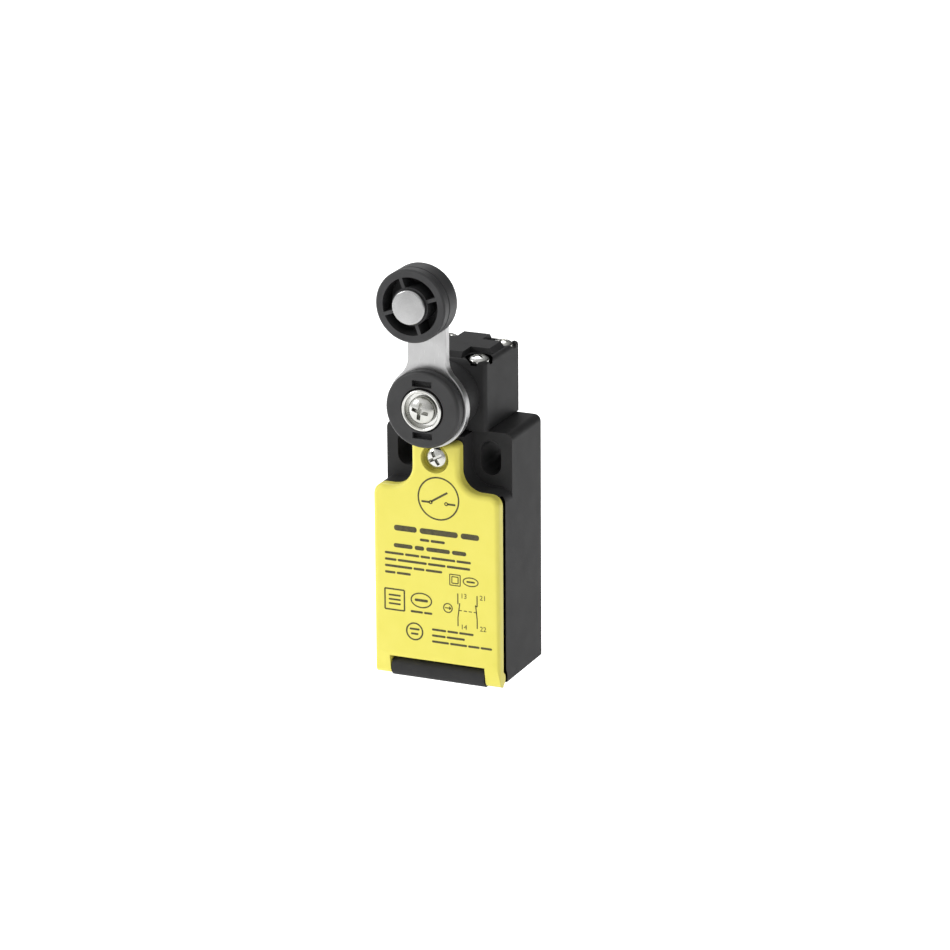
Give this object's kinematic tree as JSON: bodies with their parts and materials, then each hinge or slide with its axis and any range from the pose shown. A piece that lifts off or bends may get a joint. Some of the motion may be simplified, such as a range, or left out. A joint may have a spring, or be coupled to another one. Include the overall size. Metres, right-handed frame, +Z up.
{
  "type": "limit switch",
  "caption": "Narrow limit switch with a spring-returned roller lever on a screwed head, a hinged wiring cover, slotted ears and a cable entry underneath.",
  "frame": {"origin": "on the rear mounting face, halfway between the mounting slots", "axes": "+Y out of the rear face, away from the switch; +Z up along the body towards the head; X across the body, with the cover at -Y"},
  "size_m": [0.03, 0.0387, 0.0978],
  "materials": {
    "black_plastic": "moulded, fine grain",
    "dark_grey_plastic": "moulded, satin",
    "yellow_plastic": "moulded, satin",
    "cream_plastic": "moulded, satin",
    "black_rubber": "matt",
    "bright_steel": "bright, lightly brushed",
    "zinc_plated_steel": "clear zinc plating",
    "brass": "rolled sheet",
    "sintered_bronze": "sintered, matt"
  },
  "bodies": {
    "housing": {"block_screw_1": "zinc_plated_steel", "block_screw_2": "zinc_plated_steel", "body_housing": "black_plastic", "clamp_plate_13": "zinc_plated_steel", "clamp_plate_14": "zinc_plated_steel", "clamp_plate_21": "zinc_plated_steel", "clamp_plate_22": "zinc_plated_steel", "contact_block": "black_plastic", "head_gasket": "black_rubber", "head_housing": "black_plastic", "head_screw_1": "zinc_plated_steel", "head_screw_2": "zinc_plated_steel", "head_screw_3": "zinc_plated_steel", "head_screw_4": "zinc_plated_steel", "hinge_pin": "bright_steel", "plunger_seal": "black_rubber", "return_spring": "bright_steel", "shaft_bush": "sintered_bronze", "shaft_seal": "black_rubber", "terminal_13": "brass", "terminal_14": "brass", "terminal_21": "brass", "terminal_22": "brass", "terminal_screw_13": "zinc_plated_steel", "terminal_screw_14": "zinc_plated_steel", "terminal_screw_21": "zinc_plated_steel", "terminal_screw_22": "zinc_plated_steel"},
    "lever": {"shaft": "bright_steel", "cam": "bright_steel", "cam_pin": "bright_steel", "circlip": "bright_steel", "lever_plate": "bright_steel", "clamp_disc": "black_plastic", "clamp_cup": "zinc_plated_steel", "lever_screw": "zinc_plated_steel", "roller_pin": "bright_steel", "roller_washer": "zinc_plated_steel"},
    "roller": {"roller": "dark_grey_plastic"},
    "cover": {"front_cover": "yellow_plastic", "cover_gasket": "black_rubber", "cover_screw": "zinc_plated_steel"},
    "plunger": {"cam_follower": "cream_plastic", "contact_carrier": "cream_plastic", "contact_bridge_nc": "brass", "contact_bridge_no": "brass", "contact_spring_nc": "bright_steel", "contact_spring_no": "bright_steel"}
  },
  "joints": [
    {"name": "lever_turn", "type": "hinge", "parent": "housing", "child": "lever", "pos_m": [0, 0, 0.0138], "axis": [0, 1, 0], "range_deg": [-75, 75], "stiffness_Nm_per_rad": 0.2},
    {"name": "roller_spin", "type": "hinge", "parent": "lever", "child": "roller", "pos_m": [0, -0.03415, 0.0385], "axis": [0, 1, 0], "continuous": true},
    {"name": "cover_open", "type": "hinge", "parent": "housing", "child": "cover", "pos_m": [0, -0.0231, -0.0491], "axis": [1, 0, 0], "range_deg": [0, 100]},
    {"name": "plunger_press", "type": "slide", "parent": "housing", "child": "plunger", "axis": [0, 0, -1], "range_m": [0, 0.0018], "stiffness_N_per_m": 2500, "deforming": ["return_spring"]}
  ]
}
